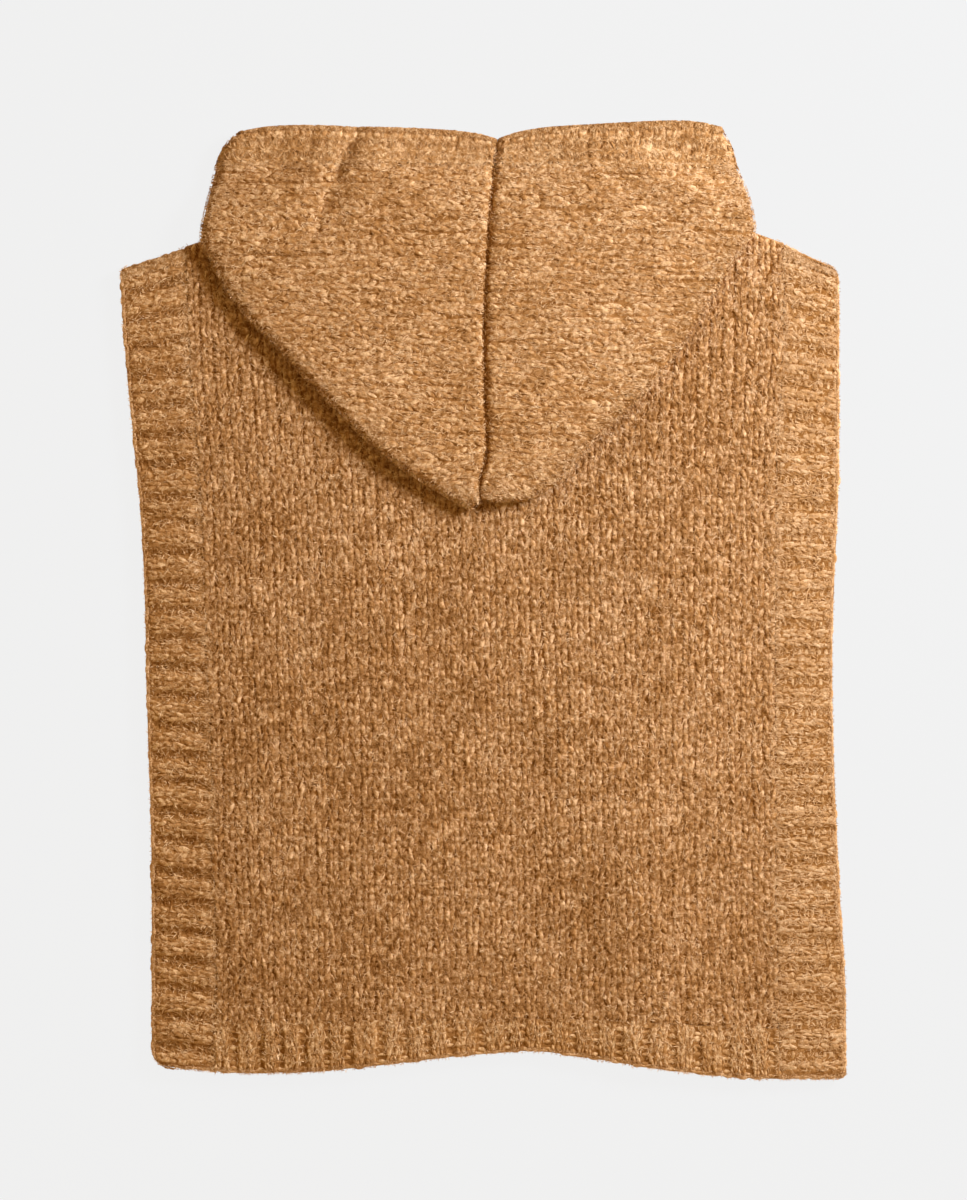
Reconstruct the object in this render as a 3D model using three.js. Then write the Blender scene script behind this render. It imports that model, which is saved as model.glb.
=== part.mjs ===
import * as THREE from 'three';

// A hooded knit vest laid out flat on its front, with its hood down on its back.
// Millimetres. +Y points from the hem to the hood, +X to the right as seen from above, +Z up.
// The layers from the ground up: front, back, under side of the hood, top side of the hood.

const { clamp, degToRad, lerp, smoothstep } = THREE.MathUtils;

// The cloth. It is a brushed bulky knit, so one layer is 5 mm thick.
const wall = 5;
const seamGap = 0.3;
const layerGap = 0.4;
const edgeRoll = 3.5;
const seamDip = 0.8;
const seamDipWidth = 2.5;
const frontInset = 1.5;

// The ribs: how far they stand out, and how far apart they are.
const ribRise = 2;
const bandRibPitch = 22.3;
const hemRibPitch = 18.3;
const faceRibPitch = 10.6;
const faceRibRise = 0.9;
const ribFade = 9;
const ribStations = [0, 0.16, 0.5, 0.84];
const faceRibStations = [0, 0.3, 0.7];

// The body.
const hemRibTall = 34;
const hemSeam = { leftX: -204, leftY: -321, rightX: 226, rightY: -327, rise: 6, riseX: 37, riseWidth: 150 };
const neckHalfWidth = 95;
const frontNeckDrop = 75;
const panelWide = 440;
const panelTall = 600;
const gridStep = 27;
const frontGridStep = 19;
const frontRowStep = 60;
const bandWidth = 46;
const shoulderTurn = wall + seamGap / 2;

// The hood, measured along its crown seam from the face edge to the tip.
const crownSeam = 276;
const faceBand = 19;
const hoodGap = 3;
const tipGap = 0.8;
const hoodTurn = 7.5;
const hoodStep = 13;
const crest = { left: 6.5, right: 7.3 };
const crownDip = 1.6;
const tipFrom = 225;
const underShare = 0.46;
const openingDepth = 52;
const openingSag = { deep: 4.5, middle: 15, halfWidth: 90, start: 10, drop: 36 };
const underFall = { start: 12, drop: 24 };
const topFall = { start: 8, drop: 34 };

// Sections across the body: the outer edges, and the seams where the side bands start.
const bodySections = [
  { up: -365, leftEdge: -252.7, leftSeam: -203.5, rightSeam: 225.5, rightEdge: 276.3 },
  { up: -290, leftEdge: -252.7, leftSeam: -204, rightSeam: 224, rightEdge: 275.5 },
  { up: -229, leftEdge: -252.7, leftSeam: -204.8, rightSeam: 222.5, rightEdge: 271.7 },
  { up: -168, leftEdge: -253.4, leftSeam: -206.2, rightSeam: 222, rightEdge: 268.7 },
  { up: -107, leftEdge: -255.5, leftSeam: -208, rightSeam: 222, rightEdge: 266.4 },
  { up: -46, leftEdge: -256.9, leftSeam: -210.2, rightSeam: 222, rightEdge: 265.6 },
  { up: 14, leftEdge: -258.4, leftSeam: -212.7, rightSeam: 222, rightEdge: 267.1 },
  { up: 75, leftEdge: -261.8, leftSeam: -215.5, rightSeam: 222.4, rightEdge: 270 },
  { up: 121, leftEdge: -266.4, leftSeam: -218.5, rightSeam: 223.5, rightEdge: 270.9 },
  { up: 166, leftEdge: -270.9, leftSeam: -222.5, rightSeam: 226.5, rightEdge: 270.9 },
  { up: 227, leftEdge: -275.5, leftSeam: -225.8, rightSeam: 228.5, rightEdge: 270.9 },
  { up: 290, leftEdge: -276.5, leftSeam: -228, rightSeam: 229, rightEdge: 270.9 },
];

// The back's lower edge, which waves a little, and its shoulders and neckline.
const hemLine = [
  { x: -280, y: -354 },
  { x: -237, y: -356.5 },
  { x: -182, y: -360 },
  { x: -127, y: -358.7 },
  { x: -73, y: -353.5 },
  { x: -18, y: -347.3 },
  { x: 37, y: -343.6 },
  { x: 92, y: -350.4 },
  { x: 146, y: -358.4 },
  { x: 201, y: -364 },
  { x: 240, y: -364.8 },
  { x: 280, y: -364.4 },
];
const backTopLine = [
  { x: -276.3, y: 253 },
  { x: -226, y: 269.5 },
  { x: -160, y: 291.5 },
  { x: -95, y: 312.5 },
  { x: -60, y: 307 },
  { x: 0, y: 305 },
  { x: 60, y: 309 },
  { x: 95, y: 319.5 },
  { x: 160, y: 296.5 },
  { x: 229, y: 271.5 },
  { x: 270.9, y: 255.5 },
];
const corners = { leftHem: 9, rightHem: 5, leftShoulder: 4, rightShoulder: 13 };

// Soft swells of the back over the front: their middle, half length, half width, turn and height.
const swells = [
  { x: -20, y: 40, long: 260, wide: 150, turn: 90, rise: 1.2 },
  { x: 50, y: -200, long: 170, wide: 42, turn: 66, rise: 1.7 },
  { x: -150, y: -90, long: 150, wide: 40, turn: 97, rise: 1.1 },
  { x: 196, y: -215, long: 130, wide: 26, turn: 112, rise: 1.2 },
  { x: 150, y: 130, long: 110, wide: 40, turn: 75, rise: 0.9 },
];

// The hood halves: where the fold and the crown seam lie, at depths along the seam.
const crownLine = [
  { depth: 0, seamX: 11, seamY: 351 },
  { depth: 22, seamX: 8, seamY: 329 },
  { depth: 60, seamX: 4.9, seamY: 291 },
  { depth: 117, seamX: 1.2, seamY: 234 },
  { depth: 195, seamX: 1, seamY: 156 },
  { depth: 240, seamX: 1.9, seamY: 111 },
  { depth: 259, seamX: -2, seamY: 92.5 },
  { depth: 268, seamX: -2.7, seamY: 84 },
  { depth: 276, seamX: -2, seamY: 76 },
];
const leftFold = [
  { depth: 0, foldX: -184, foldY: 356 },
  { depth: 9, foldX: -195, foldY: 347.5 },
  { depth: 20, foldX: -202, foldY: 333 },
  { depth: 40, foldX: -207, foldY: 314 },
  { depth: 60, foldX: -211, foldY: 294 },
  { depth: 79, foldX: -213.9, foldY: 273 },
  { depth: 95, foldX: -206, foldY: 257 },
  { depth: 117, foldX: -194.2, foldY: 234.1 },
  { depth: 135, foldX: -180, foldY: 216 },
  { depth: 155, foldX: -161, foldY: 196.5 },
  { depth: 175, foldX: -142, foldY: 176 },
  { depth: 195, foldX: -123.5, foldY: 157 },
  { depth: 215, foldX: -103, foldY: 136 },
  { depth: 232, foldX: -84, foldY: 117.5 },
  { depth: 247, foldX: -62, foldY: 100.3 },
  { depth: 259, foldX: -40, foldY: 86.5 },
  { depth: 268, foldX: -24, foldY: 76.5 },
  { depth: 276, foldX: -10, foldY: 68.6 },
];
const rightFold = [
  { depth: 0, foldX: 180, foldY: 359.5 },
  { depth: 9, foldX: 188, foldY: 344 },
  { depth: 20, foldX: 192, foldY: 330 },
  { depth: 40, foldX: 199.5, foldY: 311 },
  { depth: 60, foldX: 203.8, foldY: 292 },
  { depth: 72, foldX: 204.8, foldY: 279.5 },
  { depth: 88, foldX: 194.5, foldY: 263 },
  { depth: 100, foldX: 186, foldY: 251 },
  { depth: 117, foldX: 176.5, foldY: 234 },
  { depth: 135, foldX: 165.5, foldY: 216 },
  { depth: 155, foldX: 153, foldY: 196 },
  { depth: 175, foldX: 138, foldY: 175.6 },
  { depth: 195, foldX: 121, foldY: 155 },
  { depth: 215, foldX: 100.7, foldY: 136 },
  { depth: 232, foldX: 83, foldY: 119 },
  { depth: 247, foldX: 69, foldY: 102.5 },
  { depth: 259, foldX: 56, foldY: 88 },
  { depth: 268, foldX: 36, foldY: 77.5 },
  { depth: 276, foldX: 12, foldY: 75 },
];

// Creases of the hood's top side: troughs from one point to another.
const hoodCreases = [
  { fromX: -96, fromY: 357, toX: -121, toY: 298, wide: 9, deep: 1.8 },
  { fromX: 79, fromY: 355, toX: 126, toY: 298, wide: 14, deep: 1.2 },
];

const bodyKnit = new THREE.MeshStandardMaterial({ color: 0xc08a50, roughness: 1, metalness: 0 });
const ribKnit = new THREE.MeshStandardMaterial({ color: 0xb98349, roughness: 1, metalness: 0 });
const hoodKnit = new THREE.MeshStandardMaterial({ color: 0xc99458, roughness: 1, metalness: 0 });

const point = (x, y, z) => new THREE.Vector3(x, y, z);
const ease = (share) => smoothstep(share, 0, 1);

// Reads a column of a table between its rows, on a smooth curve through them.
function read(rows, by, column, at) {
  const found = rows.findIndex((row) => row[by] > at);
  const next = found === -1 ? rows.length - 1 : Math.max(found, 1);
  const [before, from, to, after] = [next - 2, next - 1, next, next + 1].map(
    (i) => rows[clamp(i, 0, rows.length - 1)],
  );
  const slope = (a, b) => (b[column] - a[column]) / (b[by] - a[by]);
  const span = to[by] - from[by];
  const s = clamp((at - from[by]) / span, 0, 1);
  const curved = slope(before, to) * s * (1 - s) ** 2 - slope(from, after) * s ** 2 * (1 - s);
  return from[column] + (to[column] - from[column]) * s * s * (3 - 2 * s) + span * curved;
}

// Places along a length: the given distances from each end, and even steps between them.
function places(length, start, end, step) {
  const from = start.at(-1);
  const to = length - end.at(-1);
  const count = Math.max(1, Math.ceil((to - from) / step));
  const between = Array.from({ length: count - 1 }, (_, i) => lerp(from, to, (i + 1) / count));
  return [...start, ...between, ...end.map((distance) => length - distance).reverse()];
}

// Even shares of a whole, from 0 to 1.
const shares = (count) => Array.from({ length: count + 1 }, (_, i) => i / count);

// The stations of a row of ribs, without the row's far end.
function ribPlaces(ribs, pitch, stations) {
  return Array.from({ length: ribs }, (_, i) => stations.map((station) => (i + station) * pitch)).flat();
}

// Every so many of a line's points, with both of its ends.
const thinned = (line, every) => line.filter((_, i) => i % every === 0 || i === line.length - 1);

const freeEnd = [0, 0.3 * edgeRoll, edgeRoll];
const seamEnd = [0, seamDipWidth];

// How far the cloth's face sinks near a round free edge, and near a seam.
function rollAt(distance) {
  const inward = clamp(edgeRoll - distance, 0, edgeRoll);
  return edgeRoll - Math.sqrt(edgeRoll ** 2 - inward ** 2);
}
const dipAt = (distance) => seamDip * clamp(1 - distance / seamDipWidth, 0, 1);

// A rib's height, from 0 in the groove to 1 on its broad top, at a number of ribs along.
const ribAt = (ribs) => 1 - Math.abs(2 * (ribs - Math.floor(ribs)) - 1) ** 4;

// How far the back lifts off the front.
function swellAt(x, y) {
  return swells.reduce((sum, swell) => {
    const turn = degToRad(swell.turn);
    const along = (x - swell.x) * Math.cos(turn) + (y - swell.y) * Math.sin(turn);
    const across = (y - swell.y) * Math.cos(turn) - (x - swell.x) * Math.sin(turn);
    return sum + swell.rise * Math.exp(-((along / swell.long) ** 2) - (across / swell.wide) ** 2);
  }, 0);
}
const backUnderside = (x, y) => wall + seamGap + swellAt(x, y);
const backFace = (x, y) => backUnderside(x, y) + wall;

// Joins the points of two lines with triangles, also where one line has more points.
function weave(faces, p, q) {
  let i = 0;
  let k = 0;
  while (i < p.length - 1 || k < q.length - 1) {
    const nextP = (i + 1) / (p.length - 1);
    const nextQ = (k + 1) / (q.length - 1);
    if (k === q.length - 1 || (i < p.length - 1 && nextP <= nextQ)) {
      faces.push([p[i], p[i + 1], q[k]]);
      i += 1;
    } else {
      faces.push([p[i], q[k + 1], q[k]]);
      k += 1;
    }
  }
}

function signedVolume(points, faces) {
  return faces.reduce((sum, [a, b, c]) => {
    const product = points[b].clone().cross(points[c]).dot(points[a]);
    return sum + product / 6;
  }, 0);
}

// One closed wall between an outer and an inner sheet, each given as rows of points.
function closedWall(outerRows, innerRows) {
  const points = [];
  const faces = [];
  const numbered = (rows) => rows.map((row) => row.map((p) => points.push(p) - 1));
  const outer = numbered(outerRows);
  const inner = numbered(innerRows);
  for (let j = 0; j + 1 < outer.length; j += 1) {
    weave(faces, outer[j], outer[j + 1]);
    weave(faces, inner[j + 1], inner[j]);
    weave(faces, [outer[j][0], outer[j + 1][0]], [inner[j][0], inner[j + 1][0]]);
    weave(faces, [inner[j].at(-1), inner[j + 1].at(-1)], [outer[j].at(-1), outer[j + 1].at(-1)]);
  }
  weave(faces, inner[0], outer[0]);
  weave(faces, outer.at(-1), inner.at(-1));
  const outward = signedVolume(points, faces) > 0;
  const geometry = new THREE.BufferGeometry().setFromPoints(points);
  geometry.setIndex(faces.flatMap(([a, b, c]) => (outward ? [a, b, c] : [a, c, b])));
  geometry.computeVertexNormals();
  return geometry;
}

function named(name, geometry, material) {
  const mesh = new THREE.Mesh(geometry, material);
  mesh.name = name;
  return mesh;
}

// A place on the body between the two side bands: s from left to right, y up the body.
function betweenBands(s, y) {
  const left = read(bodySections, 'up', 'leftSeam', y) + seamGap / 2;
  const right = read(bodySections, 'up', 'rightSeam', y) - seamGap / 2;
  return lerp(left, right, s);
}

// Rows of places on the body between a lower and an upper line, with their distances from the ends.
function bodyGrid(lowerLine, upperLine, columns, rows) {
  const width = columns.at(-1);
  const tall = rows.at(-1);
  return rows.map((row) =>
    columns.map((column) => {
      const s = column / width;
      const low = lowerLine(betweenBands(s, -320));
      const high = upperLine(betweenBands(s, 270));
      const y = lerp(low, high, row / tall);
      const x = betweenBands(s, y);
      return { x, y, side: Math.min(column, width - column), low: row, high: tall - row, column };
    }),
  );
}

const hemAt = (x) => read(hemLine, 'x', 'y', x);
function hemSeamAt(x) {
  const arch = hemSeam.rise * Math.exp(-(((x - hemSeam.riseX) / hemSeam.riseWidth) ** 2));
  const share = (x - hemSeam.leftX) / (hemSeam.rightX - hemSeam.leftX);
  return lerp(hemSeam.leftY, hemSeam.rightY, share) + arch;
}
const backTopAt = (x) => read(backTopLine, 'x', 'y', x);
function frontTopAt(x) {
  const drop = frontNeckDrop * (1 - Math.min(1, Math.abs(x) / neckHalfWidth) ** 2.6);
  return Math.abs(x) < neckHalfWidth ? lerp(312.5, 319.5, (x / neckHalfWidth + 1) / 2) - drop : backTopAt(x);
}

function backPanel() {
  const columns = places(panelWide, seamEnd, seamEnd, gridStep);
  const rows = places(panelTall, seamEnd, freeEnd, gridStep);
  const grid = bodyGrid((x) => hemSeamAt(x) + seamGap / 2, backTopAt, columns, rows);
  const outer = grid.map((row) =>
    row.map(({ x, y, side, low, high }) => {
      const sink = dipAt(side) + dipAt(low) + rollAt(high);
      return point(x, y, backFace(x, y) - Math.min(sink, edgeRoll));
    }),
  );
  const inner = grid.map((row) => row.map(({ x, y }) => point(x, y, backUnderside(x, y))));
  return named('back_panel', closedWall(outer, inner), bodyKnit);
}

function backHemRib() {
  const ribs = 23;
  const width = ribs * hemRibPitch;
  const columns = [...ribPlaces(ribs, hemRibPitch, ribStations), width];
  const rows = places(hemRibTall, freeEnd, seamEnd, 16);
  const grid = bodyGrid(hemAt, (x) => hemSeamAt(x) - seamGap / 2, columns, rows);
  const outer = grid.map((row) =>
    row.map(({ x, y, side, low, high, column }) => {
      const fade = clamp(Math.min(low + edgeRoll, high, side + edgeRoll) / ribFade, 0, 1);
      const sink = dipAt(side) + dipAt(high) + rollAt(low);
      const rise = ribRise * ribAt(column / hemRibPitch) * fade;
      return point(x, y, backFace(x, y) - Math.min(sink, edgeRoll) + rise);
    }),
  );
  const inner = grid.map((row) =>
    thinned(row, ribStations.length).map(({ x, y }) => point(x, y, backUnderside(x, y))),
  );
  return named('back_hem_rib', closedWall(outer, inner), ribKnit);
}

// A flat piece of the front, from the ground up to the cloth's thickness.
function frontPiece(name, lowerLine, upperLine, tall, material) {
  const columns = places(panelWide, [0], [0], frontGridStep);
  const rows = places(tall, [0], [0], frontRowStep);
  const grid = bodyGrid(lowerLine, upperLine, columns, rows);
  const layer = (height) => grid.map((row) => row.map(({ x, y }) => point(x, y, height)));
  return named(name, closedWall(layer(0), layer(wall)), material);
}

// How far a rounded corner draws the outline in, at a distance from the piece's end.
function cornerAt(radius, distance) {
  const inward = clamp(radius - distance, 0, radius);
  return radius - Math.sqrt(radius ** 2 - inward ** 2);
}

// A side band folded over the shoulder: the ribbed back half, the turn and the plain front half.
function sideBand(name, edgeColumn, seamColumn, side, hemCorner, shoulderCorner) {
  const edgeX = (y) => read(bodySections, 'up', edgeColumn, y);
  const seamX = (y) => read(bodySections, 'up', seamColumn, y) + (side * seamGap) / 2;
  const hem = { edge: hemAt(edgeX(-350)), seam: hemAt(seamX(-350)) };
  const shoulder = { edge: backTopAt(edgeX(250)), seam: backTopAt(seamX(270)) };
  const length = shoulder.edge - hem.edge;
  const flat = length - shoulderTurn;
  const ribs = Math.round(length / bandRibPitch);
  const pitch = length / ribs;
  const across = [0, 0.3 * edgeRoll, edgeRoll, 0.5 * bandWidth, bandWidth - seamDipWidth, bandWidth];

  // The band's line across at a distance up from the hem. It leans with the shoulder near its top.
  function lineAt(distance, inset, reach) {
    const share = distance / length;
    const lean = (hem.seam - hem.edge) * (1 - share) + (shoulder.seam - shoulder.edge) * share ** 6;
    const corner = cornerAt(hemCorner, distance) + cornerAt(shoulderCorner, length - distance - reach);
    const y = hem.edge + distance;
    const edge = { x: edgeX(y) - side * (corner + inset), y: y + reach };
    const seam = { x: seamX(y + lean), y: y + lean + reach };
    return (s) => ({ x: lerp(edge.x, seam.x, s), y: lerp(edge.y, seam.y, s) });
  }

  const outer = [];
  const inner = [];
  const outerRow = (line, height) => {
    const spots = across.map((d) => ({ ...line(d / bandWidth), d }));
    outer.push(spots.map(({ x, y, d }) => point(x, y, height(x, y, d))));
  };
  const innerRow = (line, height) => {
    inner.push([line(0), line(1)].map(({ x, y }) => point(x, y, height(x, y))));
  };

  const ribMarks = ribPlaces(ribs, pitch, ribStations).filter((d) => d > edgeRoll + 1 && d < flat - 1);
  const backMarks = [...freeEnd, ...ribMarks, flat];
  for (const distance of backMarks) {
    const line = lineAt(distance, 0, 0);
    outerRow(line, (x, y, d) => {
      const fade = clamp(Math.min(d + edgeRoll, bandWidth - d, distance + edgeRoll) / ribFade, 0, 1);
      const sink = Math.min(rollAt(d) + dipAt(bandWidth - d) + rollAt(distance), edgeRoll);
      return backFace(x, y) - sink + ribRise * ribAt(distance / pitch) * fade;
    });
    innerRow(line, backUnderside);
  }
  for (const angle of [60, 30, 0, -30, -60]) {
    const out = Math.cos(degToRad(angle));
    const up = Math.sin(degToRad(angle));
    const height = (x, y, radius) => shoulderTurn + radius * up + (swellAt(x, y) * (up + 1)) / 2;
    outerRow(lineAt(flat, 0, shoulderTurn * out), (x, y, d) =>
      height(x, y, shoulderTurn - 0.5 * rollAt(d)),
    );
    innerRow(lineAt(flat, 0, (seamGap / 2) * out), (x, y) => height(x, y, seamGap / 2));
  }
  const frontMarks = places(flat, [0], [0], frontRowStep).reverse();
  for (const distance of frontMarks) {
    const line = lineAt(Math.max(distance, frontInset), frontInset * (1 - distance / flat), 0);
    outerRow(line, () => 0);
    innerRow(line, () => wall);
  }
  return named(name, closedWall(outer, inner), ribKnit);
}

// How far a place lies past the shoulders and the back neckline, and what the hood lies on there.
const pastBody = (x, y) => y - backTopAt(x);
function hoodBed(x, y, { start, drop }) {
  return (backFace(x, y) + layerGap) * (1 - ease((pastBody(x, y) - start) / drop));
}
const hoodUnderside = (x, y) => hoodBed(x, y, underFall);

function creaseAt(x, y) {
  return hoodCreases.reduce((sum, { fromX, fromY, toX, toY, wide, deep }) => {
    const line = new THREE.Line3(point(fromX, fromY, 0), point(toX, toY, 0));
    const here = point(x, y, 0);
    const distance = line.closestPointToPoint(here, true, point(0, 0, 0)).distanceTo(here);
    return sum + deep * Math.exp(-((distance / wide) ** 2));
  }, 0);
}

// The hood's top side. It sags over the face opening, where it has no under layer.
function hoodFace(x, y, gap) {
  const { deep, middle, halfWidth, start, drop } = openingSag;
  const across = 1 - ease((Math.abs(x) - middle) / (halfWidth - middle));
  const sag = deep * across * ease((pastBody(x, y) - start) / drop);
  return hoodBed(x, y, topFall) + 2 * wall + gap - sag - creaseAt(x, y);
}

// One section of a folded hood half: top side from the crown seam out, turn, under side back in.
function hoodSection(depth, { fold, crestRise }, topMarks, underMarks, raised) {
  const seamPoint = new THREE.Vector2(
    read(crownLine, 'depth', 'seamX', depth),
    read(crownLine, 'depth', 'seamY', depth),
  );
  const foldPoint = new THREE.Vector2(
    read(fold, 'depth', 'foldX', depth),
    read(fold, 'depth', 'foldY', depth),
  );
  const inward = seamPoint.clone().sub(foldPoint);
  const width = inward.length() - seamGap / 2;
  inward.normalize();
  const nearTip = ease((depth - tipFrom) / (crownSeam - tipFrom));
  const gap = lerp(hoodGap, tipGap, nearTip);
  const turn = Math.min(hoodTurn, 0.55 * width);
  const underWidth = width * lerp(underShare, 1, clamp(depth / openingDepth, 0, 1));
  const crestHere = crestRise * clamp(1 - depth / faceBand, 0, 1);
  const at = (distance) => {
    const share = distance / width;
    const rise = crestHere * (1 - Math.abs(2 * share - 1) ** 5);
    return { x: foldPoint.x + inward.x * distance, y: foldPoint.y + inward.y * distance + rise };
  };

  const outer = [];
  const inner = [];
  for (const mark of topMarks) {
    const distance = lerp(width, turn, mark);
    const { x, y } = at(distance);
    const fromSeam = width - distance;
    const seamSink = crownDip * Math.exp(-((fromSeam / 3) ** 2)) * (1 - nearTip);
    const rise = Math.max(raised(fromSeam, distance) - seamSink, -edgeRoll);
    outer.push(point(x, y, hoodFace(x, y, gap) + rise));
    inner.push(point(x, y, hoodFace(x, y, gap) - wall));
  }
  const start = at(turn);
  const top = hoodFace(start.x, start.y, gap);
  const base = hoodUnderside(start.x, start.y);
  const middle = (top + base) / 2;
  for (const angle of [50, 20, -15, -50]) {
    const out = Math.cos(degToRad(angle));
    const up = Math.sin(degToRad(angle));
    const outside = at(turn * (1 - out));
    const innerTurn = Math.max(turn - wall, 0.25 * turn);
    const inside = at(turn - innerTurn * out);
    outer.push(point(outside.x, outside.y, middle + ((top - base) / 2) * up));
    inner.push(point(inside.x, inside.y, middle + ((top - base) / 2 - wall) * up));
  }
  for (const mark of underMarks) {
    const { x, y } = at(lerp(turn, Math.max(underWidth, turn + 0.5), mark));
    outer.push(point(x, y, hoodUnderside(x, y)));
    inner.push(point(x, y, hoodUnderside(x, y) + wall));
  }
  return { outer, inner: thinned(inner, 2) };
}

function foldedWall(name, sections, material) {
  const outer = sections.map((section) => section.outer);
  const inner = sections.map((section) => section.inner);
  return named(name, closedWall(outer, inner), material);
}

function hoodHalf(name, half) {
  const top = faceBand + seamGap / 2;
  const topMarks = [0, 0.02, ...shares(14).slice(1)];
  const sections = places(crownSeam - top, seamEnd, [0, 6], hoodStep).map((down) =>
    hoodSection(top + down, half, topMarks, shares(6), () => -dipAt(down)),
  );
  return foldedWall(name, sections, hoodKnit);
}

function hoodEdge(name, half) {
  const ribs = Math.round(half.faceWidth / faceRibPitch);
  const topMarks = [...ribPlaces(ribs, 1 / ribs, faceRibStations), 1];
  const tall = faceBand - seamGap / 2;
  const sections = places(tall, freeEnd, seamEnd, 14).map((depth) =>
    hoodSection(depth, half, topMarks, shares(4), (fromSeam, distance) => {
      const along = fromSeam / (fromSeam + distance - hoodTurn);
      const inside = Math.min(fromSeam + edgeRoll, distance - hoodTurn, tall - depth + edgeRoll);
      const rise = faceRibRise * ribAt(along * ribs) * clamp(inside / ribFade, 0, 1);
      return rise - rollAt(depth) - dipAt(tall - depth);
    }),
  );
  return foldedWall(name, sections, ribKnit);
}

const leftHalf = { fold: leftFold, crestRise: crest.left, faceWidth: 195 };
const rightHalf = { fold: rightFold, crestRise: crest.right, faceWidth: 170 };
const hemFront = (x) => hemAt(x) + frontInset;
const hemSeamAbove = (x) => hemSeamAt(x) + seamGap / 2;
const hemSeamBelow = (x) => hemSeamAt(x) - seamGap / 2;

const vest = new THREE.Group();
vest.add(
  backPanel(),
  backHemRib(),
  frontPiece('front_panel', hemSeamAbove, frontTopAt, panelTall, bodyKnit),
  frontPiece('front_hem_rib', hemFront, hemSeamBelow, hemRibTall, ribKnit),
  sideBand('side_band_left', 'leftEdge', 'leftSeam', -1, corners.leftHem, corners.leftShoulder),
  sideBand('side_band_right', 'rightEdge', 'rightSeam', 1, corners.rightHem, corners.rightShoulder),
  hoodHalf('hood_left', leftHalf),
  hoodHalf('hood_right', rightHalf),
  hoodEdge('hood_edge_left', leftHalf),
  hoodEdge('hood_edge_right', rightHalf),
);

export default vest;
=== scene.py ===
"""A hooded vest in brushed bulky knit, laid out flat on its front with the hood down on its back."""
import math

import bmesh
import bpy
import numpy as np
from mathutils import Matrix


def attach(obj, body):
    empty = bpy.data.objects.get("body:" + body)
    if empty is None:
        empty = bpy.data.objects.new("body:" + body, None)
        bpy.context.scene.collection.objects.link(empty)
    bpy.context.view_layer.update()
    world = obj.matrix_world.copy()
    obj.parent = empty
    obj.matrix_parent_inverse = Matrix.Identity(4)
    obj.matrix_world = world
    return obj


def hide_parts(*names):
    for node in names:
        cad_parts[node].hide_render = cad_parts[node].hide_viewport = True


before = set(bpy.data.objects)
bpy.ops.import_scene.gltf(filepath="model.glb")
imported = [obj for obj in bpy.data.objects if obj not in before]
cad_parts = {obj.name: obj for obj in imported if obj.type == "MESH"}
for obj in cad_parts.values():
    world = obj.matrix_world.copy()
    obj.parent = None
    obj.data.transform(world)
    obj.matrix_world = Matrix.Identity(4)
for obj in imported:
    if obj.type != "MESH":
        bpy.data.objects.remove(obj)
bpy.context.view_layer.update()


# The front of the vest lies under the back, flat on the surface, so it shows only at its edges and
# from below. It is stockinette like the back, with a deeper neckline, and has a rib at its hem.
# All sizes are in millimetres, with +Y from the hem to the hood.
WALL = 5.0
SEAM_GAP = 0.3
PANEL_WIDE = 440.0
PANEL_TALL = 600.0
HEM_RIB_TALL = 34.0
FRONT_INSET = 1.5
NECK_HALF_WIDTH = 95.0
FRONT_NECK_DROP = 75.0
WALE = 9.0
COURSE = 5.6
YARN_DARK = "#7D4B19"
YARN_MIDDLE = "#B27F4C"
YARN_LIGHT = "#E2B486"


def columns_of(names, rows):
    """A table's columns by name. The first one is the key that the table is read by."""
    return dict(zip(names.split(), np.array(rows, dtype=float).T))


BODY = columns_of("up left_edge left_seam right_seam right_edge", [
    (-365, -252.7, -203.5, 225.5, 276.3),
    (-290, -252.7, -204.0, 224.0, 275.5),
    (-229, -252.7, -204.8, 222.5, 271.7),
    (-168, -253.4, -206.2, 222.0, 268.7),
    (-107, -255.5, -208.0, 222.0, 266.4),
    (-46, -256.9, -210.2, 222.0, 265.6),
    (14, -258.4, -212.7, 222.0, 267.1),
    (75, -261.8, -215.5, 222.4, 270.0),
    (121, -266.4, -218.5, 223.5, 270.9),
    (166, -270.9, -222.5, 226.5, 270.9),
    (227, -275.5, -225.8, 228.5, 270.9),
    (290, -276.5, -228.0, 229.0, 270.9),
])
HEM_LINE = columns_of("x y", [
    (-280, -354.0), (-237, -356.5), (-182, -360.0), (-127, -358.7), (-73, -353.5), (-18, -347.3),
    (37, -343.6), (92, -350.4), (146, -358.4), (201, -364.0), (240, -364.8), (280, -364.4),
])
BACK_TOP_LINE = columns_of("x y", [
    (-276.3, 253.0), (-226, 269.5), (-160, 291.5), (-95, 312.5), (-60, 307.0), (0, 305.0),
    (60, 309.0), (95, 319.5), (160, 296.5), (229, 271.5), (270.9, 255.5),
])


def read(rows, column, at):
    """Reads a table's column between its rows, on a smooth curve through them."""
    keys, values = next(iter(rows.values())), rows[column]
    upper = np.clip(np.searchsorted(keys, at, side="right"), 1, len(keys) - 1)
    lower = upper - 1
    before, after = np.maximum(lower - 1, 0), np.minimum(upper + 1, len(keys) - 1)
    slope_in = (values[upper] - values[before]) / (keys[upper] - keys[before])
    slope_out = (values[after] - values[lower]) / (keys[after] - keys[lower])
    span = keys[upper] - keys[lower]
    s = np.clip((at - keys[lower]) / span, 0, 1)
    curved = slope_in * s * (1 - s) ** 2 - slope_out * s**2 * (1 - s)
    return values[lower] + (values[upper] - values[lower]) * s * s * (3 - 2 * s) + span * curved


def hem_line(x):
    return read(HEM_LINE, "y", x)


def hem_seam(x):
    return -321 - 6 * (x + 204) / 430 + 6 * np.exp(-(((x - 37) / 150) ** 2))


def rib_top(x):
    return hem_seam(x) - SEAM_GAP / 2


def panel_bottom(x):
    return hem_seam(x) + SEAM_GAP / 2


def back_top(x):
    return read(BACK_TOP_LINE, "y", x)


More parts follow.
